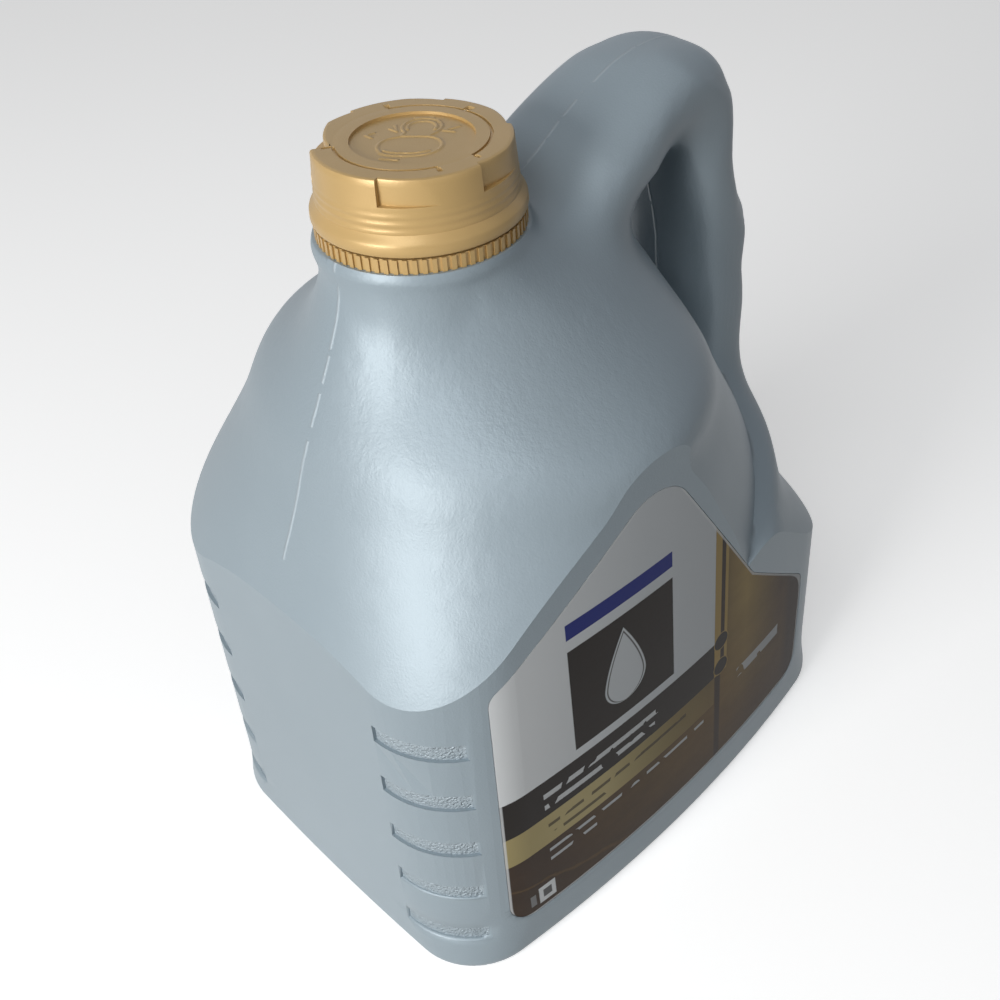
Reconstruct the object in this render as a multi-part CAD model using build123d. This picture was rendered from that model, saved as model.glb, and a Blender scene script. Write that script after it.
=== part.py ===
from build123d import *
import math
import os

# An engine oil bottle of four litres, blow moulded with a hollow handle, with its screw cap,
# the cap's sealing disc, the tamper ring and a film label. Lengths are in millimetres.
# Origin: middle of the foot print, on the surface that it stands on. +Z is up, +X points to
# the handle's side, and the label faces -Y.

# Body: a box with bowed walls and round corners, which are sharper at the foot
body_width = 190.0
body_depth = 144.6
front_bow = 8.9
side_bow = 1.8
corner_radius = 31.0
foot_corner_radius = 21.0
foot_corner_height = 26.0
foot_radius = 5.0
wall = 1.6

# Base: a shallow push-up inside a standing ring
ring_width = 16.0
push_up = 3.0
push_up_slope = 20.0

# Neck: the shoulder's ledge, the finish above it and the bead that holds the tamper ring
neck_offset = 28.7
neck_radius = 28.9
ledge_height = 219.6
finish_radius = 21.8
finish_wall = 1.8
bead_reach = 2.6
bead_height = 2.0

# Gripping ribs: pockets round the two corners away from the handle
rib_count = 5
rib_pitch = 21.2
rib_top = 103.0
rib_height = 6.6
rib_depth = 1.0
rib_side_reach = 34.6
rib_front_reach = 13.8

# Tamper ring: it lies on the ledge under the cap's mouth, hooked under the neck's bead
ring_height = 3.9
ring_radius = 28.3
hook_height = 1.6
hook_clearance = 0.8
tooth_count = 72
tooth_depth = 0.5
tooth_share = 0.5

# Cap: a skirt with a bead at its mouth, and a top plate with a sunk disc and three grooves
cap_height = 19.9
cap_radius = 26.0
cap_waist_radius = 26.9
cap_mouth_radius = 28.7
cap_mouth_height = 3.8
cap_plate = 3.0
cap_bore_clearance = 2.1
cap_ring_gap = 0.5
cap_edge_round = 0.7
disc_radius = 16.2
disc_depth = 0.8
groove_radius = 20.2
groove_width = 0.9
groove_depth = 0.6
groove_arcs = ((-83.0, 88.0), (12.0, 88.0), (149.0, 98.0))

# Ratchet grips: shallow steps cut in the skirt's upper edge, all facing one way
grip_count = 6
grip_first_angle = -150.6
grip_height = 7.0
grip_depth = 1.1
grip_sweep = 34.0

# Sealing disc inside the cap
liner_thickness = 1.4
liner_clearance = 0.4

# Label: a film in a pocket of its own depth on the front wall
label_thickness = 0.4
label_left_margin = 19.4
label_right_margin = 27.0
label_foot = 18.0
label_slack = 0.2
label_foot_round = 9.0
label_knee_round = 6.0
label_bend_round = 16.0
label_peak_x = -12.7
label_peak_height = 164.6
label_left_knee_height = 121.0
label_valley_x = 33.0
label_valley_height = 92.8
label_right_knee_height = 65.0

# One cut's overrun, and the slack between parts that lie on each other
overrun = 2.0
seat_gap = 0.05

# Shoulder: rings from inside the box up to under the ledge. Each has its height as a share of
# the ledge's, its left and right reach and its deepest place as shares of half the width, its
# depth as a share of half the depth, and the power of its left and its right side, which
# makes that side an ellipse at 2 and nearer a rectangle above
shoulder_shares = [
    (0.21, -1.42, 1.39, -0.42, 1.383, 2.6, 2.0),
    (0.364, -1.253, 1.126, -0.42, 1.272, 2.5, 1.8),
    (0.478, -1.116, 0.968, -0.42, 1.196, 2.5, 1.8),
    (0.556, -1.026, 0.881, -0.40, 1.156, 2.45, 1.85),
    (0.610, -0.968, 0.80, -0.347, 1.113, 2.3, 1.9),
    (0.674, -0.901, 0.704, -0.253, 1.062, 2.1, 1.9),
    (0.729, -0.844, 0.622, -0.179, 1.021, 2.0, 1.9),
    (0.783, -0.794, 0.542, -0.126, 0.979, 1.9, 1.9),
    (0.824, -0.745, 0.50, -0.137, 0.83, 1.85, 1.95),
    (0.874, -0.687, 0.453, -0.158, 0.615, 1.85, 2.05),
    (0.9335, -0.627, 0.358, -0.211, 0.459, 1.9, 2.2),
    (0.970, -0.609, 0.19, -0.27, 0.407, 2.0, 2.1),
]

# Handle: rings along its middle line. Each has its place across as a share of half the width
# and its height as a share of the ledge's, its tilt about Y, its reach to the inside and the
# outside of the loop as shares of the grip's, its half width as a share of the grip's, and
# its power
grip_reach = 13.6
grip_half_width = 21.4
handle_shares = [
    (0.316, 0.21, 0.0, 3.68, 6.99, 5.23, 2.2),
    (0.316, 0.30, 0.0, 3.68, 5.88, 4.21, 2.0),
    (0.316, 0.364, 0.0, 3.31, 5.29, 4.02, 1.9),
    (0.337, 0.428, 0.0, 2.79, 4.74, 3.60, 1.75),
    (0.526, 0.492, 0.0, 2.35, 3.35, 2.76, 1.8),
    (0.789, 0.565, 0.0, 1.25, 1.47, 1.31, 2.2),
    (0.853, 0.647, 0.0, 1.0, 1.01, 1.05, 2.6),
    (0.853, 0.751, 0.0, 1.0, 1.0, 1.01, 2.6),
    (0.826, 0.865, -5.0, 1.0, 1.0, 1.0, 2.6),
    (0.774, 0.956, -12.0, 1.0, 1.03, 1.0, 2.6),
    (0.695, 1.032, -44.0, 1.03, 1.40, 1.03, 2.7),
    (0.505, 1.037, -95.0, 1.07, 1.01, 1.12, 2.5),
    (0.316, 0.997, -118.0, 1.14, 0.99, 1.21, 2.4),
    (0.105, 0.938, -124.0, 1.25, 0.96, 1.26, 2.2),
    (-0.084, 0.879, -124.0, 1.40, 0.81, 1.17, 2.0),
]
box_share = 0.255


def bowed_box_plan(inset, radius):
    """Plan of the body: four bowed sides, with the corners rounded."""
    half_w = body_width / 2 - inset
    half_d = body_depth / 2 - inset
    corner_x = half_w - side_bow
    corner_y = half_d - front_bow
    sides = [
        ThreePointArc((-corner_x, -corner_y), (0, -half_d), (corner_x, -corner_y)),
        ThreePointArc((corner_x, -corner_y), (half_w, 0), (corner_x, corner_y)),
        ThreePointArc((corner_x, corner_y), (0, half_d), (-corner_x, corner_y)),
        ThreePointArc((-corner_x, corner_y), (-half_w, 0), (-corner_x, -corner_y)),
    ]
    plan = make_face(sides)
    return fillet(plan.vertices(), radius - inset)


def bowed_prism(inset, bottom, top):
    """The body's plan as an upright block."""
    plan = bowed_box_plan(inset, corner_radius)
    return extrude(Pos(0, 0, bottom) * plan, amount=top - bottom)


def foot_block(inset):
    """The lowest stretch of the body, where the corners grow sharper towards the base."""
    rings = []
    for share in (0, 1 / 3, 2 / 3, 1):
        height = inset + share * (foot_corner_height - inset)
        ease = 1 - (1 - share) ** 2
        radius = foot_corner_radius + ease * (corner_radius - foot_corner_radius)
        rings.append(Pos(0, 0, height) * bowed_box_plan(inset, radius))
    block = loft(rings)
    return fillet(block.edges().group_by(Axis.Z)[0], foot_radius - inset)


def full_ring(plane, reach_left, reach_right, mid, half, power_left, power_right):
    """A closed smooth ring, an ellipse at power 2 and nearer a rectangle above it."""
    points = []
    for step in range(16):
        turn = step * math.pi / 8
        reach, power = reach_right - mid, power_right
        if math.cos(turn) < 0:
            reach, power = mid - reach_left, power_left
        along = math.copysign(abs(math.cos(turn)) ** (2 / power), math.cos(turn))
        across = math.copysign(abs(math.sin(turn)) ** (2 / power), math.sin(turn))
        points.append(plane.from_local_coords(Vector(mid + reach * along, half * across)))
    return Face(Wire([Spline(points, periodic=True)]))


def shoulder(inset):
    """The bell-shaped shoulder up to the ledge, before the body's walls trim it."""
    half_w, half_d = body_width / 2, body_depth / 2
    rings = []
    for up, left, right, mid, deep, power_left, power_right in shoulder_shares:
        ends = (left * half_w + inset, right * half_w - inset, mid * half_w)
        plane = Plane((0, 0, up * ledge_height))
        rings.append(full_ring(plane, *ends, deep * half_d - inset, power_left, power_right))
    reach = neck_radius - inset
    ends = (-neck_offset - reach, reach - neck_offset, -neck_offset)
    rings.append(full_ring(Plane((0, 0, ledge_height)), *ends, reach, 2, 2))
    return loft(rings)


def handle(inset):
    """The hollow handle: out of the shoulder, over the hand's gap and down the grip."""
    rings = []
    for across, up, tilt, inner, outer, wide, power in handle_shares:
        place = (across * body_width / 2, 0, up * ledge_height)
        plane = Plane(Location(place, (0, tilt, 0)))
        ends = (inset - inner * grip_reach, outer * grip_reach - inset)
        rings.append(full_ring(plane, *ends, 0, wide * grip_half_width - inset, power, power))
    return loft(rings)


def base_recess(inset):
    """The push-up in the base, one wall wider for the inside."""
    plan = bowed_box_plan(ring_width - inset, corner_radius)
    cut = extrude(plan, amount=push_up + inset, taper=push_up_slope)
    return cut + extrude(plan, amount=-overrun)


def corner_ribs(inset):
    """The pockets round the two left corners, as a skin that is cut from the form."""
    skin = bowed_prism(inset - overrun, 0, rib_top + rib_pitch)
    skin -= bowed_prism(inset + rib_depth, 0, rib_top + rib_pitch)
    wide = rib_front_reach + inset + overrun
    deep = rib_side_reach + inset + overrun
    windows = Part()
    for rank in range(rib_count):
        for side in (-1, 1):
            x = (wide - body_width) / 2 - overrun
            y = side * ((body_depth - deep) / 2 + overrun)
            place = Pos(x, y, rib_top - rank * rib_pitch)
            windows += place * Box(wide, deep, rib_height + 2 * inset)
    return skin & windows


def bottle_form(inset):
    """The bottle's skin as a filled form, all its walls moved in by the inset."""
    box_top = box_share * ledge_height
    box = foot_block(inset) + bowed_prism(inset, foot_corner_height, box_top)
    block = bowed_prism(inset, box_top, ledge_height + body_depth)
    top = block & (shoulder(inset) + handle(inset))
    return box + top - base_recess(inset) - corner_ribs(inset)


def upright(radius, bottom, top):
    """A cylinder on the neck's axis."""
    return Pos(-neck_offset, 0, bottom) * extrude(Circle(radius), amount=top - bottom)


def tamper_bottom():
    """The tamper ring's foot, on the ledge."""
    return ledge_height + seat_gap


def bead_bottom():
    """The neck's bead lies just over the tamper ring's hook."""
    return tamper_bottom() + hook_height + cap_ring_gap


def cap_bottom():
    """The cap's mouth, just over the tamper ring."""
    return tamper_bottom() + ring_height + cap_ring_gap


def cap_top():
    """The cap's upper face."""
    return cap_bottom() + cap_height


def finish_top():
    """The neck's rim, under the sealing disc and the cap's plate."""
    return cap_top() - cap_plate - 2 * seat_gap - liner_thickness


def hollow():
    """The bottle's inside: one wall within the skin, and open through the neck."""
    hollow = bottle_form(wall)
    hollow -= upright(neck_radius, ledge_height - wall, cap_top())
    return hollow + upright(finish_radius - finish_wall, ledge_height - 2 * wall, cap_top())


def finish():
    """The neck above the ledge, with the bead that the tamper ring hooks under."""
    neck = upright(finish_radius, ledge_height - wall, finish_top())
    bead = upright(finish_radius + bead_reach, bead_bottom(), bead_bottom() + bead_height)
    return neck + fillet(bead.edges().filter_by(GeomType.CIRCLE), bead_height / 3)


def bottle():
    """The whole bottle: skin and neck, less the hollow and the label's pocket."""
    return bottle_form(0) - label_pocket() + finish() - hollow()


def label_outline(grow):
    """Front view of the label: a gable whose peak and valley follow the shoulder."""
    left = label_left_margin - body_width / 2
    right = body_width / 2 - label_right_margin
    corners = [
        ((left, label_foot), label_foot_round),
        ((right, label_foot), label_foot_round),
        ((right, label_right_knee_height), label_knee_round),
        ((label_valley_x, label_valley_height), label_bend_round),
        ((label_peak_x, label_peak_height), label_bend_round),
        ((left, label_left_knee_height), label_knee_round),
    ]
    outline = make_face(Polyline(*[place for place, radius in corners], close=True))
    for place, radius in corners:
        outline = fillet(outline.vertices().sort_by_distance(place)[0], radius)
    return offset(outline, amount=grow) if grow else outline


def front_skin(grow, outer, inner):
    """What lies between two depths under the front wall, inside the label's outline."""
    column = extrude(Plane.XZ * label_outline(grow), amount=body_depth)
    skin = bowed_prism(outer, 0, ledge_height) - bowed_prism(inner, 0, ledge_height)
    return column & skin


def label_pocket():
    """The pocket that the label lies in, as deep as the film and its slack."""
    return front_skin(label_slack, -overrun, label_thickness + 2 * seat_gap)


def front_label():
    """The printed film, flush with the front wall."""
    return front_skin(0, seat_gap, seat_gap + label_thickness)


def on_circle(radius, angle):
    """A point of a plan round the neck's axis."""
    return Vector(radius, 0).rotate(Axis.Z, angle)


def toothed_plan():
    """Plan of the tamper ring: square teeth all the way round."""
    pitch = 360 / tooth_count
    root = ring_radius - tooth_depth
    points = []
    for rank in range(tooth_count):
        start, end = rank * pitch, (rank + tooth_share) * pitch
        points += [on_circle(root, start), on_circle(ring_radius, start)]
        points += [on_circle(ring_radius, end), on_circle(root, end)]
    return make_face(Polyline(*points, close=True))


def tamper_ring():
    """The ring that stays on the neck, toothed outside and hooked inside."""
    bottom = tamper_bottom()
    room = finish_radius + bead_reach + hook_clearance
    ring = Pos(-neck_offset, 0, bottom) * extrude(toothed_plan(), amount=ring_height)
    ring -= upright(room, bottom + hook_height, cap_top())
    return ring - upright(finish_radius + hook_clearance, 0, cap_top())


def cap_profile():
    """Half section of the cap: skirt with mouth bead, top plate with a sunk disc."""
    bottom, top = cap_bottom(), cap_top()
    bead = bottom + cap_mouth_height
    bore = finish_radius + cap_bore_clearance
    rim = [
        (bore, bottom),
        (cap_mouth_radius - cap_edge_round, bottom),
        (cap_mouth_radius, bottom + cap_mouth_height / 3),
        (cap_mouth_radius - cap_edge_round / 2, bead),
        (cap_waist_radius, bead + cap_mouth_height / 2),
        (cap_radius, top - cap_edge_round),
        (cap_radius - cap_edge_round, top),
    ]
    plate = [
        (disc_radius, top),
        (disc_radius, top - disc_depth),
        (0, top - disc_depth),
        (0, top - cap_plate),
        (bore, top - cap_plate),
    ]
    return make_face(Polyline(*(rim + plate), close=True))


def ratchet_grips():
    """Wedges that fade away from their step, set round the skirt's upper edge."""
    wedges = Part()
    for rank in range(grip_count):
        start = grip_first_angle + rank * 360 / grip_count
        middle, end = start + grip_sweep / 2, start + grip_sweep
        deepest = cap_radius - grip_depth
        outside = cap_waist_radius + overrun
        floor = ThreePointArc(on_circle(deepest, start),
                              on_circle((deepest + cap_waist_radius) / 2, middle),
                              on_circle(cap_waist_radius, end))
        back = Polyline(on_circle(cap_waist_radius, end), on_circle(outside, end),
                        on_circle(outside, start), on_circle(deepest, start))
        wedge = extrude(make_face([floor, back]), amount=grip_height + overrun)
        wedges += Pos(-neck_offset, 0, cap_top() - grip_height) * wedge
    return wedges


def top_grooves():
    """Arcs round the cap's upper face."""
    inner, outer = groove_radius - groove_width / 2, groove_radius + groove_width / 2
    grooves = Part()
    for start, sweep in groove_arcs:
        middle, end = start + sweep / 2, start + sweep
        sides = [
            ThreePointArc(on_circle(inner, start), on_circle(inner, middle), on_circle(inner, end)),
            Line(on_circle(inner, end), on_circle(outer, end)),
            ThreePointArc(on_circle(outer, end), on_circle(outer, middle), on_circle(outer, start)),
            Line(on_circle(outer, start), on_circle(inner, start)),
        ]
        groove = extrude(make_face(sides), amount=groove_depth + overrun)
        grooves += Pos(-neck_offset, 0, cap_top() - groove_depth) * groove
    return grooves


def cap():
    """The screw cap."""
    body = revolve(Plane.XZ * cap_profile(), axis=Axis.Z)
    return Pos(-neck_offset, 0, 0) * body - ratchet_grips() - top_grooves()


def cap_liner():
    """The sealing disc that is held between the cap's plate and the neck's rim."""
    bottom = finish_top() + seat_gap
    radius = finish_radius + cap_bore_clearance - liner_clearance
    return upright(radius, bottom, bottom + liner_thickness)


def save(name, piece):
    """Writes one piece to the folder of parts."""
    os.makedirs("parts", exist_ok=True)
    export_step(piece, f"parts/{name}.step")


save("bottle", bottle())
save("front_label", front_label())
save("tamper_ring", tamper_ring())
save("cap_liner", cap_liner())
save("cap", cap())
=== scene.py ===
import bpy
import bmesh
import math
import numpy as np
from mathutils import Euler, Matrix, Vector, kdtree


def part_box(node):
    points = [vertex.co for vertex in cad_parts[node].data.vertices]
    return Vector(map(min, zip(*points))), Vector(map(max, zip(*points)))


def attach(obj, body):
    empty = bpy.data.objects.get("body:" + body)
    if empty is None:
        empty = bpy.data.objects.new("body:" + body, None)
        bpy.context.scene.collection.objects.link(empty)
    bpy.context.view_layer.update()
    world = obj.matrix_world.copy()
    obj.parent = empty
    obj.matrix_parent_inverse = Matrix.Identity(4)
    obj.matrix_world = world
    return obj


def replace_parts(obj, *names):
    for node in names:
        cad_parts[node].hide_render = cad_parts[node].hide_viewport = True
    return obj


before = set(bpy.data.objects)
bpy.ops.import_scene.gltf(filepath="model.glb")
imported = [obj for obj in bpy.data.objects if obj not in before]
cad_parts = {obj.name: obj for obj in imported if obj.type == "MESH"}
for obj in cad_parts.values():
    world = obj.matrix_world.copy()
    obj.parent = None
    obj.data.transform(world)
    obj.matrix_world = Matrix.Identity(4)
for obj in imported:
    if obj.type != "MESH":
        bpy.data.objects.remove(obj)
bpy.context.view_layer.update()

# Studio: a pale table top under large soft lamps, with the window side on the left.
# The front of the bottle faces away from the key lamp, as in the photograph.
camera_place = Vector((-0.2107, -0.2375, 0.3726))
camera_turn = (math.radians(54.66), math.radians(1.01), math.radians(-47.40))
camera_lens = 44.59
camera_shift = (-0.1063, -0.1093)

camera_data = bpy.data.cameras.new("camera")
camera_data.lens = camera_lens
camera_data.sensor_width = 36.0
camera_data.shift_x, camera_data.shift_y = camera_shift
camera_data.clip_start = 0.01
camera = bpy.data.objects.new("camera", camera_data)
camera.location = camera_place
camera.rotation_euler = Euler(camera_turn)
bpy.context.collection.objects.link(camera)
bpy.context.scene.camera = camera
bpy.context.scene.view_settings.view_transform = "Standard"


def soft_lamp(name, place, target, size, watts, colour):
    """A square soft lamp that faces its target."""
    lamp = bpy.data.lights.new(name, "AREA")
    lamp.shape, lamp.size, lamp.energy, lamp.color = "SQUARE", size, watts, colour
    holder = bpy.data.objects.new(name, lamp)
    holder.location = place
    holder.rotation_euler = (Vector(target) - Vector(place)).to_track_quat("-Z", "Y").to_euler()
    bpy.context.collection.objects.link(holder)


lamp_target = (0.0, 0.0, 0.14)
soft_lamp("window", (-1.25, -0.14, 0.46), lamp_target, 0.55, 13.0, (1.0, 0.99, 0.97))
soft_lamp("sky", (-0.85, -0.38, 1.15), lamp_target, 0.7, 6.5, (0.95, 0.98, 1.0))
soft_lamp("front_fill", (-0.3, -1.5, 0.7), lamp_target, 1.0, 0.9, (1.0, 1.0, 1.0))

world = bpy.data.worlds.new("studio")
world.use_nodes = True
world_paint = world.node_tree.nodes["Background"]
world_paint.inputs["Color"].default_value = (0.93, 0.95, 1.0, 1.0)
bpy.context.scene.world = world


def seen_ray(tree):
    """One on rays that show the background: from the camera, in gloss and through glass."""
    light_path = tree.nodes.new("ShaderNodeLightPath")
    seen = light_path.outputs["Is Camera Ray"]
    for ray in ("Is Glossy Ray", "Is Transmission Ray"):
        either = tree.nodes.new("ShaderNodeMath")
        either.operation = "MAXIMUM"
        tree.links.new(seen, either.inputs[0])
        tree.links.new(light_path.outputs[ray], either.inputs[1])
        seen = either.outputs[0]
    return seen


world_level = world.node_tree.nodes.new("ShaderNodeMath")
world_level.operation = "MULTIPLY_ADD"
world.node_tree.links.new(seen_ray(world.node_tree), world_level.inputs[0])
world_level.inputs[1].default_value = 0.8
world_level.inputs[2].default_value = 0.06
world.node_tree.links.new(world_level.outputs[0], world_paint.inputs["Strength"])

floor_mesh = bpy.data.meshes.new("floor")
floor_reach = 3.0
floor_mesh.from_pydata([(-floor_reach, -floor_reach, 0), (floor_reach, -floor_reach, 0),
                        (floor_reach, floor_reach, 0), (-floor_reach, floor_reach, 0)],
                       [], [(0, 1, 2, 3)])
floor = bpy.data.objects.new("floor", floor_mesh)
bpy.context.collection.objects.link(floor)
floor_paint = bpy.data.materials.new("pale_floor")
floor_paint.use_nodes = True
floor_tree = floor_paint.node_tree
floor_surface = floor_tree.nodes["Principled BSDF"]
floor_surface.inputs["Roughness"].default_value = 0.8
floor_surface.inputs["Specular IOR Level"].default_value = 0.0
floor_surface.inputs["Emission Color"].default_value = (1.0, 1.0, 1.0, 1.0)
seen = seen_ray(floor_tree)
floor_tone = floor_tree.nodes.new("ShaderNodeMix")
floor_tone.data_type = "RGBA"
floor_tree.links.new(seen, floor_tone.inputs["Factor"])
floor_tone.inputs["A"].default_value = (0.16, 0.16, 0.16, 1.0)
floor_tone.inputs["B"].default_value = (0.88, 0.88, 0.88, 1.0)
floor_tree.links.new(floor_tone.outputs["Result"], floor_surface.inputs["Base Color"])
floor_glow = floor_tree.nodes.new("ShaderNodeMath")
floor_glow.operation = "MULTIPLY"
floor_glow.inputs[1].default_value = 0.5
floor_tree.links.new(seen, floor_glow.inputs[0])
floor_tree.links.new(floor_glow.outputs[0], floor_surface.inputs["Emission Strength"])
floor_mesh.materials.append(floor_paint)


# Bottle: blow moulded in one from pearl silver-blue polyethylene, with a thin parting ridge
# all round its middle, a fine spark-eroded grain on its skin and rougher floors in the five
# gripping ribs of each left corner.
class Paint:
    """A procedural material that is built up node by node."""

    def __init__(self, name, roughness, metallic=0.0):
        self.material = bpy.data.materials.new(name)
        self.material.use_nodes = True
        self.tree = self.material.node_tree
        self.surface = self.tree.nodes["Principled BSDF"]
        self.surface.inputs["Roughness"].default_value = roughness
        self.surface.inputs["Metallic"].default_value = metallic
        self.place = self.tree.nodes.new("ShaderNodeTexCoord").outputs["Object"]

    def join(self, value, socket):
        """Feeds a socket from another node's output, or sets its number."""
        if isinstance(value, bpy.types.NodeSocket):
            self.tree.links.new(value, socket)
        else:
            socket.default_value = value

    def sum(self, operation, *values, clamp=False):
        """One Math node."""
        node = self.tree.nodes.new("ShaderNodeMath")
        node.operation, node.use_clamp = operation, clamp
        for value, socket in zip(values, node.inputs):
            self.join(value, socket)
        return node.outputs[0]

    def mapped(self, stretch):
        """Object coordinates stretched along the axes."""
        node = self.tree.nodes.new("ShaderNodeMapping")
        self.join(self.place, node.inputs["Vector"])
        node.inputs["Scale"].default_value = stretch
        return node.outputs[0]

    def noise(self, scale, detail=3.0, place=None, roughness=0.5):
        """A cloudy pattern; scale is in repeats per metre."""
        node = self.tree.nodes.new("ShaderNodeTexNoise")
        self.join(place or self.place, node.inputs["Vector"])
        node.inputs["Scale"].default_value = scale
        node.inputs["Detail"].default_value = detail
        node.inputs["Roughness"].default_value = roughness
        return node.outputs["Fac"]

    def blend(self, share, first, second):
        """Mixes two colours."""
        node = self.tree.nodes.new("ShaderNodeMix")
        node.data_type = "RGBA"
        self.join(share, node.inputs["Factor"])
        self.join(first, node.inputs["A"])
        self.join(second, node.inputs["B"])
        return node.outputs["Result"]

    def span(self, value, low, high, edge):
        """One between low and high, and zero outside, with soft edges."""
        rise = self.sum("DIVIDE", self.sum("SUBTRACT", value, low - edge / 2), edge, clamp=True)
        fall = self.sum("DIVIDE", self.sum("SUBTRACT", high + edge / 2, value), edge, clamp=True)
        return self.sum("MULTIPLY", rise, fall)

    def bump(self, height, depth, under=None):
        """Relief from a height in metres' share of depth."""
        node = self.tree.nodes.new("ShaderNodeBump")
        node.inputs["Distance"].default_value = depth
        self.join(height, node.inputs["Height"])
        if under is not None:
            self.join(under, node.inputs["Normal"])
        return node.outputs["Normal"]

    def axes(self):
        """The object coordinates as three numbers."""
        node = self.tree.nodes.new("ShaderNodeSeparateXYZ")
        self.join(self.place, node.inputs[0])
        return node.outputs


rib_floor_top, rib_pitch, rib_count, rib_height = 0.103, 0.0212, 5, 0.0066
rib_reach_x, rib_reach_y = -0.0812, 0.0377

skin = Paint("bottle_skin", 0.42, 0.15)
skin.surface.inputs["Specular IOR Level"].default_value = 0.35
x, y, z = skin.axes()
grain = skin.noise(1500.0, 2.0)
leather = skin.noise(420.0, 4.0, skin.mapped((1.0, 1.0, 0.55)), 0.6)
cloud = skin.noise(26.0, 2.0)
rib_phase = skin.sum("ABSOLUTE", skin.sum("SUBTRACT", skin.sum(
    "MODULO", skin.sum("SUBTRACT", rib_floor_top + rib_pitch * 1.5, z), rib_pitch), rib_pitch / 2))
in_height = skin.sum("LESS_THAN", rib_phase, rib_height / 2)
in_rows = skin.span(z, rib_floor_top - rib_pitch * (rib_count - 0.5), rib_floor_top + rib_pitch / 2, 0.0002)
in_corner = skin.sum("MULTIPLY", skin.sum("LESS_THAN", x, rib_reach_x),
                     skin.sum("GREATER_THAN", skin.sum("ABSOLUTE", y), rib_reach_y))
rib_floor = skin.sum("MULTIPLY", skin.sum("MULTIPLY", in_height, in_rows), in_corner)
wander = skin.sum("MULTIPLY", skin.sum("SUBTRACT", skin.noise(60.0, 1.0), 0.5), 0.0012)
off_seam = skin.sum("ABSOLUTE", skin.sum("ADD", y, wander))
seam = skin.sum("SUBTRACT", 1.0, skin.sum("DIVIDE", off_seam, 0.0007, clamp=True), clamp=True)
seam = skin.sum("MULTIPLY", seam, skin.sum("GREATER_THAN", z, 0.140))
seam = skin.sum("MULTIPLY", seam, skin.sum("GREATER_THAN", skin.noise(170.0, 1.0), 0.42))
relief = skin.bump(grain, 0.00005)
relief = skin.bump(skin.sum("MULTIPLY", leather, skin.span(z, 0.155, 0.215, 0.04)), 0.00011, relief)
relief = skin.bump(skin.sum("MULTIPLY", skin.noise(1300.0, 1.0), rib_floor), 0.0008, relief)
relief = skin.bump(seam, 0.0002, relief)
skin.join(relief, skin.surface.inputs["Normal"])
colour = skin.blend(cloud, (0.285, 0.345, 0.385, 1), (0.315, 0.375, 0.415, 1))
colour = skin.blend(skin.sum("MULTIPLY", seam, 0.35), colour, (0.55, 0.60, 0.63, 1))
colour = skin.blend(skin.sum("MULTIPLY", rib_floor, 0.3), colour, (0.50, 0.56, 0.60, 1))
skin.join(colour, skin.surface.inputs["Base Color"])


def ramp(value, zero, one):
    """Rises from 0 to 1 between two values."""
    return np.clip((value - zero) / (one - zero), 0, 1)


def outer_faces(net):
    """The faces of the bottle's outside, reached from its foot without passing the neck's rim."""
    def in_neck(face):
        middle = face.calc_center_median()
        return middle.z > 0.216 and math.hypot(middle.x + 0.0287, middle.y) < 0.0212
    seed = min(net.faces, key=lambda face: face.calc_center_median().z)
    found, waiting = {seed}, [seed]
    while waiting:
        for edge in waiting.pop().edges:
            for face in edge.link_faces:
                if face not in found and not in_neck(face):
                    found.add(face)
                    waiting.append(face)
    return found


def may_soften(x, y, z):
    """Where the skin may flow: round the handle's root and not at the neck's ledge."""
    share = ramp(z, 0.165, 0.185) * ramp(np.abs(y), 0.058, 0.050)
    return share * np.maximum(ramp(np.hypot(x + 0.0287, y), 0.0305, 0.034), ramp(z, 0.2165, 0.2125))


def edge_seeds(net, outside, steep):
    """Points along the creases of the handle's root."""
    points = []
    for edge in net.edges:
        faces = edge.link_faces
        if len(faces) == 2 and faces[0] in outside and faces[1] in outside and edge.calc_face_angle(0) > steep:
            first, last = edge.verts[0].co, edge.verts[1].co
            middle = (first + last) / 2
            if middle.z > 0.185 and may_soften(*middle) > 0:
                count = max(1, int((last - first).length / 0.001))
                points += [first.lerp(last, rank / count) for rank in range(count + 1)]
    return points


def near_share(places, seeds, reach):
    """One at the seeds, falling to zero at the reach."""
    tree = kdtree.KDTree(len(seeds))
    for rank, seed in enumerate(seeds):
        tree.insert(seed, rank)
    tree.balance()
    away = np.array([tree.find(place)[2] for place in places])
    return ramp(away, reach, reach * 0.2)


def refine(net, seeds, reach, longest):
    """Splits the long edges of the skin near the seeds."""
    for pass_count in range(4):
        long_edges = [edge for edge in net.edges
                      if edge.calc_length() > longest and edge.link_faces[0].material_index == 1]
        middles = [(edge.verts[0].co + edge.verts[1].co) / 2 for edge in long_edges]
        near = near_share(middles, seeds, reach + longest) > 0
        chosen = [edge for edge, is_near in zip(long_edges, near) if is_near]
        if not chosen or len(net.faces) > 150000:
            return
        bmesh.ops.subdivide_edges(net, edges=chosen, cuts=1)
        bmesh.ops.triangulate(net, faces=[face for face in net.faces if len(face.verts) > 3])


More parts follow.
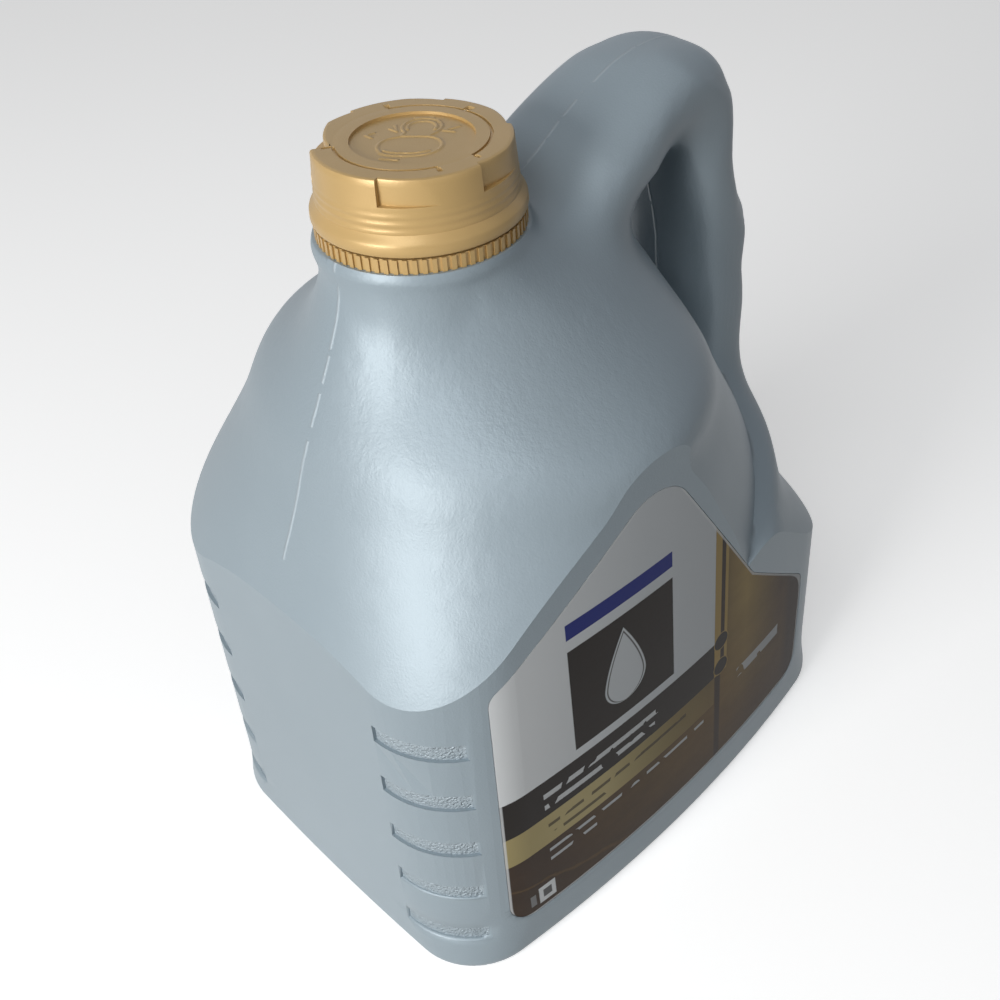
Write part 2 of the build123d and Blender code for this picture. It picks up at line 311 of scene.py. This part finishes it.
def relax(net, seeds, reach, passes, most_in, most_out):
    """Lets the skin near the seeds flow to a smooth form, within limits to each side."""
    net.verts.ensure_lookup_table()
    net.verts.index_update()
    free = [vert for vert in net.verts if all(face.material_index == 1 for face in vert.link_faces)]
    places = np.array([vert.co[:] for vert in net.verts])
    share = np.zeros(len(places))
    ranks = np.array([vert.index for vert in free])
    share[ranks] = near_share([vert.co for vert in free], seeds, reach)
    share *= may_soften(*places.T)
    share = share * share * (3 - 2 * share)
    normals = np.array([vert.normal[:] for vert in net.verts])
    pairs = np.array([(edge.verts[0].index, edge.verts[1].index) for edge in net.edges])
    pairs = pairs[(share[pairs[:, 0]] > 0) | (share[pairs[:, 1]] > 0)]
    heads, tails = np.concatenate([pairs[:, 0], pairs[:, 1]]), np.concatenate([pairs[:, 1], pairs[:, 0]])
    count = np.maximum(1, np.bincount(heads, minlength=len(places)))
    start = places.copy()
    for step in range(passes):
        mean = np.stack([np.bincount(heads, places[tails, axis], len(places)) / count for axis in range(3)], 1)
        places += 0.5 * share[:, None] * (mean - places)
        moved = ((places - start) * normals).sum(1)
        excess = moved - np.clip(moved, -most_in, most_out)
        places -= excess[:, None] * normals
    for rank in np.nonzero(share)[0]:
        net.verts[rank].co = places[rank]


net = bmesh.new()
net.from_mesh(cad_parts["bottle"].data)
bmesh.ops.remove_doubles(net, verts=net.verts, dist=0.000001)
outside = outer_faces(net)
for face in net.faces:
    face.material_index = 1 if face in outside else 0
root_points = edge_seeds(net, outside, math.radians(14))
refine(net, root_points, 0.020, 0.0022)
relax(net, root_points, 0.020, 160, 0.0010, 0.0050)
for face in net.faces:
    face.material_index = 0
wall_edges = []
for rank, edge in enumerate(net.edges):
    leans = sorted(abs(face.normal.z) for face in edge.link_faces)
    if 0.056 < edge.verts[0].co.z < 0.185 and leans[0] < 0.01 and leans[-1] > 0.04:
        wall_edges.append(rank)
skin_mesh = bpy.data.meshes.new("blown_bottle")
net.to_mesh(skin_mesh)
net.free()
print("blown bottle:", len(skin_mesh.polygons), "triangles")


def new_piece(name, mesh, paint, body, sharp=34):
    """Adds a finished piece in a body's care."""
    piece = bpy.data.objects.new(name, mesh)
    bpy.context.collection.objects.link(piece)
    mesh.materials.clear()
    mesh.materials.append(paint.material)
    mesh.polygons.foreach_set("use_smooth", [True] * len(mesh.polygons))
    mesh.set_sharp_from_angle(angle=math.radians(sharp))
    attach(piece, body)
    return piece


blown_bottle = new_piece("blown_bottle", skin_mesh, skin, "bottle", 20)
for rank in wall_edges:
    skin_mesh.attributes["sharp_edge"].data[rank].value = True
even_shading = blown_bottle.modifiers.new("even_shading", "WEIGHTED_NORMAL")
even_shading.mode, even_shading.weight, even_shading.keep_sharp = "FACE_AREA", 90, True
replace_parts(blown_bottle, "bottle")


def dress(node, paint):
    """Gives a CAD node its material."""
    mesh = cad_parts[node].data
    mesh.materials.clear()
    mesh.materials.append(paint.material)


# Front label: a satin film printed in a silver field with a black panel and a drop in it, a
# leaning gold column, a black band over a gold one and a deep brown ground that glows gold
# on the right. The silver field and the gold band are paler on the left in painted sheen, and a
# pale line all round the cut edge is a painted highlight.
film = Paint("label_print", 0.5, 0.0)
film.surface.inputs["Specular IOR Level"].default_value = 0.1
x, y, z = film.axes()
lean = 0.036
across = film.sum("ADD", film.sum("MULTIPLY", z, lean), x)


def field(left, right, low, high, edge=0.0002):
    """A printed field between two leaning sides and two level ones."""
    return film.sum("MULTIPLY", film.span(across, left, right, edge), film.span(z, low, high, edge))


def round_field(middle, height, reach, edge=0.0003):
    """A printed disc."""
    away = film.sum("SQRT", film.sum("ADD", film.sum("POWER", film.sum("SUBTRACT", across, middle), 2.0),
                                     film.sum("POWER", film.sum("SUBTRACT", z, height), 2.0)))
    return film.span(away, -1.0, reach, edge)


silver, pale, black = (0.66, 0.69, 0.71, 1), (0.80, 0.82, 0.83, 1), (0.016, 0.012, 0.010, 1)
gold, olive, bronze = (0.42, 0.30, 0.12, 1), (0.36, 0.29, 0.13, 1), (0.17, 0.105, 0.040, 1)
brown, dark_brown, deep_blue = (0.060, 0.034, 0.018, 1), (0.026, 0.016, 0.011, 1), (0.020, 0.030, 0.19, 1)
smoke = film.noise(42.0, 5.0, film.mapped((0.7, 1.0, 1.4)), 0.62)
ground = film.blend(smoke, dark_brown, brown)
warm = film.span(across, -0.030, 0.055, 0.06)
warm = film.sum("MULTIPLY", warm, film.span(z, 0.024, 0.075, 0.03))
ground = film.blend(film.sum("MULTIPLY", warm, film.sum("MULTIPLY", smoke, 1.1)), ground, bronze)
streak_way = film.sum("ADD", z, film.sum("MULTIPLY", across, 0.32))
streak_way = film.sum("ADD", streak_way, film.sum("MULTIPLY", film.sum("SUBTRACT", smoke, 0.5), 0.012))
streak = film.sum("MULTIPLY", film.span(streak_way, 0.0092, 0.0102, 0.0012), film.span(across, -0.08, -0.03, 0.02))
ground = film.blend(film.sum("MULTIPLY", streak, 0.5), ground, bronze)
glow = film.sum("MULTIPLY", film.span(across, 0.0225, 0.044, 0.022), film.span(z, 0.058, 0.16, 0.05))
right_field = film.blend(film.sum("MULTIPLY", glow, film.sum("ADD", film.sum("MULTIPLY", smoke, 0.7), 0.45)), ground, gold)
right_field = film.blend(film.span(across, 0.060, 0.3, 0.005), right_field, dark_brown)
colour = film.blend(film.span(across, 0.0187, 0.3, 0.0003), ground, right_field)
# Painted sheen: the silver field turns paler towards the left, on the side the key lamp lights.
painted_sheen = film.blend(film.span(x, -0.3, -0.045, 0.05), silver, pale)
colour = film.blend(field(-0.2, 0.0155, 0.0762, 0.3), colour, painted_sheen)
colour = film.blend(field(-0.2, 0.0187, 0.0602, 0.0762), colour, black)
fade_out = film.sum("SUBTRACT", 1.0, film.span(across, -0.012, 0.3, 0.05))
gold_band = film.sum("MULTIPLY", field(-0.2, 0.0155, 0.0470, 0.0602), film.sum("ADD", film.sum("MULTIPLY", fade_out, 0.75), 0.25))
# The gold band is printed; its paler left end is painted sheen, standing in for the gleam of metallic ink.
painted_band_sheen = film.blend(film.span(across, -0.066, -0.020, 0.03), olive, (0.50, 0.42, 0.22, 1))
colour = film.blend(gold_band, colour, painted_band_sheen)
panel_left, panel_right, panel_low, panel_high = -0.0460, -0.0048, 0.0800, 0.1218
colour = film.blend(field(panel_left, panel_right, panel_low, panel_high), colour, black)
colour = film.blend(field(panel_left, panel_right, 0.1262, 0.1322), colour, deep_blue)

drop_middle, drop_height, drop_reach, drop_tip = -0.0254, 0.0945, 0.0085, 0.0225
rise = film.sum("SUBTRACT", z, drop_height)
upper = film.sum("SUBTRACT", 1.0, film.sum("POWER", film.sum("DIVIDE", rise, drop_tip, clamp=True), 1.5))
lower_share = film.sum("DIVIDE", film.sum("SUBTRACT", drop_height, z), drop_reach, clamp=True)
lower = film.sum("SQRT", film.sum("SUBTRACT", 1.0, film.sum("POWER", lower_share, 2.0)))
half_drop = film.sum("MULTIPLY", film.sum("MULTIPLY", upper, lower), drop_reach)
from_rim = film.sum("SUBTRACT", half_drop, film.sum("ABSOLUTE", film.sum("SUBTRACT", across, drop_middle)))
colour = film.blend(film.span(from_rim, 0.0002, 1.0, 0.0003), colour, silver)
colour = film.blend(film.span(from_rim, 0.0009, 0.0014, 0.0003), colour, (0.10, 0.10, 0.10, 1))

gap = film.sum("GREATER_THAN", film.noise(210.0, 0.0, film.mapped((1.0, 0.0, 0.7))), 0.40)
for left, right, height, tall, tone in (
        (-0.0590, -0.0125, 0.0694, 0.0022, pale), (-0.0590, -0.0140, 0.0643, 0.0022, pale),
        (-0.0585, 0.0008, 0.0552, 0.0015, dark_brown), (-0.0585, -0.0340, 0.0506, 0.0015, dark_brown),
        (-0.0590, 0.0100, 0.0434, 0.0014, silver), (-0.0590, -0.0390, 0.0389, 0.0014, silver),
        (0.0285, 0.0545, 0.0508, 0.0048, silver)):
    line = film.sum("MULTIPLY", field(left, right, height - tall / 2, height + tall / 2), gap)
    colour = film.blend(film.sum("MULTIPLY", line, 0.8), colour, tone)

for left, right, tone in ((0.0155, 0.0187, gold), (0.0187, 0.0207, dark_brown), (0.0207, 0.0222, gold)):
    colour = film.blend(field(left, right, 0.0600, 0.3), colour, tone)
colour = film.blend(field(0.0158, 0.0187, -0.2, 0.0600, 0.0008), colour, dark_brown)
for height in (0.0752, 0.0632):
    colour = film.blend(round_field(0.0190, height, 0.0038), colour, gold)
    colour = film.blend(round_field(0.0190, height, 0.0035), colour, black)
colour = film.blend(field(-0.0648, -0.0585, 0.0206, 0.0284), colour, pale)
colour = film.blend(field(-0.0632, -0.0600, 0.0226, 0.0264), colour, (0.12, 0.12, 0.12, 1))
colour = film.blend(field(-0.0680, -0.0660, 0.0215, 0.0268), colour, (0.25, 0.25, 0.25, 1))


def edge_distance(ahead, start):
    """How far a point lies inside a straight edge of the label's outline."""
    length = math.hypot(ahead[0] - start[0], ahead[1] - start[1])
    slope_x, slope_z = (ahead[1] - start[1]) / length, (start[0] - ahead[0]) / length
    offset = slope_x * start[0] + slope_z * start[1]
    return film.sum("SUBTRACT", film.sum("ADD", film.sum("MULTIPLY", x, slope_x), film.sum("MULTIPLY", z, slope_z)), offset)


label_left, label_right, label_foot = -0.0756, 0.0680, 0.0180
left_knee, peak = (label_left, 0.1210), (-0.0127, 0.1646)
valley, right_knee = (0.0330, 0.0928), (label_right, 0.0650)
edges = [film.sum("SUBTRACT", x, label_left), film.sum("SUBTRACT", label_right, x),
         film.sum("SUBTRACT", z, label_foot), edge_distance(peak, left_knee)]
right_roof = film.sum("MAXIMUM", edge_distance(valley, peak), edge_distance(right_knee, valley))


inside = right_roof
for edge in edges:
    inside = film.sum("SMOOTH_MIN", inside, edge, 0.010)
# Painted highlight: a thin pale line all round the label's cut edge.
colour = film.blend(film.sum("MULTIPLY", film.span(inside, -1.0, 0.0007, 0.0003), 0.7), colour, pale)
film.join(colour, film.surface.inputs["Base Color"])
film.join(film.sum("ADD", film.sum("MULTIPLY", film.noise(900.0, 2.0), 0.08), 0.42), film.surface.inputs["Roughness"])
dress("front_label", film)

# Cap and tamper ring: injection moulded from satin gold polypropylene, the ring snapped off
# the cap's mouth when it is first opened. The cap has five ratchet steps and one deep notch in
# its upper edge, grooves round a sunk disc with raised line work, and a thread in its bore.
gold_plastic = Paint("gold_plastic", 0.36, 0.2)
gold_cloud = gold_plastic.noise(90.0, 2.0)
gold_plastic.join(gold_plastic.blend(gold_cloud, (0.50, 0.33, 0.125, 1), (0.56, 0.37, 0.15, 1)),
                  gold_plastic.surface.inputs["Base Color"])
gold_plastic.join(gold_plastic.bump(gold_plastic.noise(2200.0, 1.0), 0.00003),
                  gold_plastic.surface.inputs["Normal"])
dress("tamper_ring", gold_plastic)

neck_x = -0.0287
cap_foot, cap_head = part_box("cap")[0][2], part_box("cap")[1][2]
cap_bore, cap_plate, cap_columns = 0.0239, 0.003, 540
cap_radius, waist_radius, mouth_radius, mouth_height = 0.026, 0.0269, 0.0287, 0.0038
edge_round, disc_radius, disc_sink = 0.0007, 0.0162, 0.0008
thread_pitch, thread_reach, thread_half_width = 0.006, 0.0009, 0.0011
steps = [(-150.6 + 60 * rank, 44, 0.0249, 0.007) for rank in range(5)] + [(148, -48, 0.021, 0.0045)]
groove_arcs, groove_radius, groove_width, groove_sink = ((-83, 88), (8, 60), (149, 98)), 0.0202, 0.0009, 0.0006


def faded(angle, start, sweep):
    """How far round an arc an angle lies, from 0 to 1, or None outside it."""
    share = ((angle - start) * math.copysign(1, sweep)) % 360 / abs(sweep)
    return share if share <= 1 else None


def thread_height(angle, height):
    """The ridge of the right-handed thread in the bore."""
    low, high = cap_foot + 0.0025, cap_head - cap_plate - 0.0015
    off = ((height - cap_foot) / thread_pitch - angle / 360 + 0.5) % 1 - 0.5
    ridge = min(1, max(0, (thread_half_width - abs(off) * thread_pitch) / 0.0005))
    ends = min(1, max(0, (height - low) / 0.001), max(0, (high - height) / 0.001))
    return thread_reach * ridge * ends


sign_right, sign_away = (0.677, -0.736), (0.736, 0.677)


def arc_points(middle, reach, start, end, count=14):
    """Points along an elliptic arc of the sign, in millimetres."""
    turns = [math.radians(start + (end - start) * rank / (count - 1)) for rank in range(count)]
    return [(middle[0] + reach[0] * math.cos(turn), middle[1] + reach[1] * math.sin(turn)) for turn in turns]


sign_lines = [
    arc_points((1.5, 7.6), (5.2, 5.6), -38, 218), arc_points((1.5, 7.4), (3.8, 4.0), -20, 200),
    [(-2.6, 4.1), (-3.2, 1.8), (3.6, 1.6), (5.6, 4.1)], [(-1.0, 13.6), (3.8, 13.4)],
    [(-3.2, 1.8)] + arc_points((-3.6, -4.2), (4.8, 5.4), 105, 215) + arc_points((-0.6, -7.2), (7.2, 3.0), 205, 330)
    + arc_points((3.8, -4.0), (4.2, 5.2), -40, 70) + [(3.6, 1.6)],
    arc_points((-0.6, -6.0), (6.2, 2.4), 200, 335), [(-6.6, -11.6), (-2.2, -12.6)],
    [(-10.6, 4.2), (-12.4, 2.6), (-10.8, 1.0)], [(9.0, 7.0), (7.4, 5.0), (10.2, 4.2)], [(7.4, 5.0), (11.2, 7.6)],
    [(-6.8, 6.6), (-4.8, 4.8), (-5.6, 8.6)]]
sign_starts = np.array([a for line in sign_lines for a in line[:-1]])
sign_ends = np.array([b for line in sign_lines for b in line[1:]])


def sign_height(x, y):
    """The raised line work on the disc: an arch over a wide base with small arrows."""
    place = np.array([x * sign_right[0] + y * sign_right[1], x * sign_away[0] + y * sign_away[1]]) * 1000
    along = sign_ends - sign_starts
    share = np.clip(((place - sign_starts) * along).sum(1) / (along ** 2).sum(1), 0, 1)
    away = np.hypot(*(place - sign_starts - share[:, None] * along).T).min()
    return 0.00028 * min(1, max(0, (0.55 - away) / 0.3))


def cap_section(angle):
    """Half section of the cap at one angle, from the middle of the plate's underside."""
    bite, floor = 1.0, cap_head - 0.007
    for start, sweep, deepest, tall in steps:
        share = faded(angle, start, sweep)
        if share is not None:
            bite, floor = min(bite, deepest + share * (waist_radius - deepest)), cap_head - tall
    rows = [(cap_bore, cap_head - cap_plate)]
    for rank in range(1, 48):
        height = cap_head - cap_plate - rank / 48 * (cap_head - cap_plate - cap_foot)
        rows.append((cap_bore - thread_height(angle, height), height))
    rows += [(cap_bore, cap_foot), (mouth_radius - edge_round, cap_foot),
             (mouth_radius - edge_round / 4, cap_foot + mouth_height / 8), (mouth_radius, cap_foot + mouth_height / 3),
             (mouth_radius - edge_round / 8, cap_foot + mouth_height * 0.8),
             (mouth_radius - edge_round / 2, cap_foot + mouth_height),
             (waist_radius + edge_round, cap_foot + mouth_height * 1.2)]
    skirt = cap_foot + mouth_height * 1.5
    for rank in range(15):
        height = skirt + rank / 14 * (floor - 0.00005 - skirt)
        ripple = 0.00013 * math.sin((height - skirt) / 0.0021 * 2 * math.pi) * min(1, (floor - height) / 0.003)
        taper = (height - skirt) / (cap_head - skirt)
        rows.append((waist_radius + taper * (cap_radius - waist_radius) + ripple, height))
    for rank in range(5):
        height = floor + rank / 4 * (cap_head - edge_round - floor)
        taper = (height - skirt) / (cap_head - skirt)
        rows.append((min(waist_radius + taper * (cap_radius - waist_radius), bite), height))
    rim = min(cap_radius, bite)
    rows += [(rim - edge_round * 0.3, cap_head - edge_round * 0.3), (rim - edge_round, cap_head)]
    groove = groove_sink if any(faded(angle, *arc) is not None for arc in groove_arcs) else 0.00001
    stub = any(abs((angle - end + 180) % 360 - 180) < 1.4 for start, sweep in groove_arcs for end in (start, start + sweep))
    plain = groove_radius + groove_width / 2 + 0.0003
    for rank in range(1, 9):
        radius = rim - edge_round + rank / 8 * (plain - rim + edge_round)
        rows.append((radius, cap_head - (groove_sink if stub and radius < groove_radius + 0.0024 else 0)))
    for radius, sink in ((groove_width / 2, 0), (groove_width / 2 - 0.0001, 1), (0.0001 - groove_width / 2, 1),
                         (-groove_width / 2, 0)):
        rows.append((groove_radius + radius, cap_head - sink * groove))
    rows += [(disc_radius + 0.0015, cap_head), (disc_radius, cap_head), (disc_radius - 0.0001, cap_head - disc_sink)]
    across, away = math.cos(math.radians(angle)), math.sin(math.radians(angle))
    for rank in range(1, 52):
        radius = (disc_radius - 0.0001) * (1 - rank / 52)
        rows.append((radius, cap_head - disc_sink + sign_height(radius * across, radius * away)))
    return rows


sections = [cap_section(360 * column / cap_columns) for column in range(cap_columns)]
cap_rows = len(sections[0])
cap_points = [(neck_x + radius * math.cos(math.tau * column / cap_columns),
               radius * math.sin(math.tau * column / cap_columns), height)
              for column, section in enumerate(sections) for radius, height in section]
cap_points += [(neck_x, 0.0, cap_head - cap_plate), (neck_x, 0.0, cap_head - disc_sink)]
cap_faces = []
for column in range(cap_columns):
    here, there = column * cap_rows, (column + 1) % cap_columns * cap_rows
    cap_faces += [(here + row, there + row, there + row + 1, here + row + 1) for row in range(cap_rows - 1)]
    cap_faces.append((len(cap_points) - 2, there, here))
    cap_faces.append((len(cap_points) - 1, here + cap_rows - 1, there + cap_rows - 1))


cap_mesh = bpy.data.meshes.new("screw_cap")
cap_mesh.from_pydata(cap_points, [], cap_faces)
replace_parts(new_piece("screw_cap", cap_mesh, gold_plastic, "cap"), "cap")

# Neck thread: a round ridge moulded on the bottle's finish, one and a half turns, right-handed,
# on which the cap climbs as it is turned.
thread_tree = bpy.data.node_groups.new("neck_thread", "GeometryNodeTree")
thread_tree.interface.new_socket(name="Geometry", in_out="OUTPUT", socket_type="NodeSocketGeometry")
thread_sizes = {"Neck Radius": 0.0218, "Ridge Radius": 0.001, "Turns": 1.5, "Rise": 0.009}
thread_keys = {name: thread_tree.interface.new_socket(name=name, in_out="INPUT", socket_type="NodeSocketFloat").identifier
               for name in thread_sizes}
thread_in = thread_tree.nodes.new("NodeGroupInput")
thread_out = thread_tree.nodes.new("NodeGroupOutput")
spiral = thread_tree.nodes.new("GeometryNodeCurveSpiral")
spiral.inputs["Resolution"].default_value = 96
spiral.inputs["Reverse"].default_value = True
for name, size in (("Rotations", "Turns"), ("Start Radius", "Neck Radius"), ("End Radius", "Neck Radius"), ("Height", "Rise")):
    thread_tree.links.new(thread_in.outputs[size], spiral.inputs[name])
ridge_circle = thread_tree.nodes.new("GeometryNodeCurvePrimitiveCircle")
ridge_circle.inputs["Resolution"].default_value = 12
thread_tree.links.new(thread_in.outputs["Ridge Radius"], ridge_circle.inputs["Radius"])
ridge_sweep = thread_tree.nodes.new("GeometryNodeCurveToMesh")
ridge_sweep.inputs["Fill Caps"].default_value = True
thread_tree.links.new(spiral.outputs[0], ridge_sweep.inputs["Curve"])
thread_tree.links.new(ridge_circle.outputs[0], ridge_sweep.inputs["Profile Curve"])
ridge_lift = thread_tree.nodes.new("GeometryNodeTransform")
ridge_lift.inputs["Translation"].default_value = (neck_x, 0.0, cap_foot + 0.0021)
thread_tree.links.new(ridge_sweep.outputs[0], ridge_lift.inputs["Geometry"])
realized = thread_tree.nodes.new("GeometryNodeRealizeInstances")
thread_tree.links.new(ridge_lift.outputs[0], realized.inputs[0])
painted = thread_tree.nodes.new("GeometryNodeSetMaterial")
painted.inputs["Material"].default_value = skin.material
thread_tree.links.new(realized.outputs[0], painted.inputs["Geometry"])
thread_tree.links.new(painted.outputs[0], thread_out.inputs[0])

thread_base = bpy.data.objects.new("thread_base", bpy.data.meshes.new("thread_base"))
bpy.context.collection.objects.link(thread_base)
thread_grown = thread_base.modifiers.new("thread", "NODES")
thread_grown.node_group = thread_tree
for name, size in thread_sizes.items():
    thread_grown[thread_keys[name]] = size
thread_view = bpy.context.evaluated_depsgraph_get()
thread_mesh = bpy.data.meshes.new_from_object(thread_base.evaluated_get(thread_view))
bpy.data.objects.remove(thread_base)
new_piece("neck_thread", thread_mesh, skin, "bottle")

# Sealing disc: white foamed film, held in the cap over the neck's rim.
seal = Paint("seal_foam", 0.6, 0.0)
seal.surface.inputs["Base Color"].default_value = (0.78, 0.78, 0.75, 1)
seal.join(seal.bump(seal.noise(2500.0, 2.0), 0.00004), seal.surface.inputs["Normal"])
dress("cap_liner", seal)
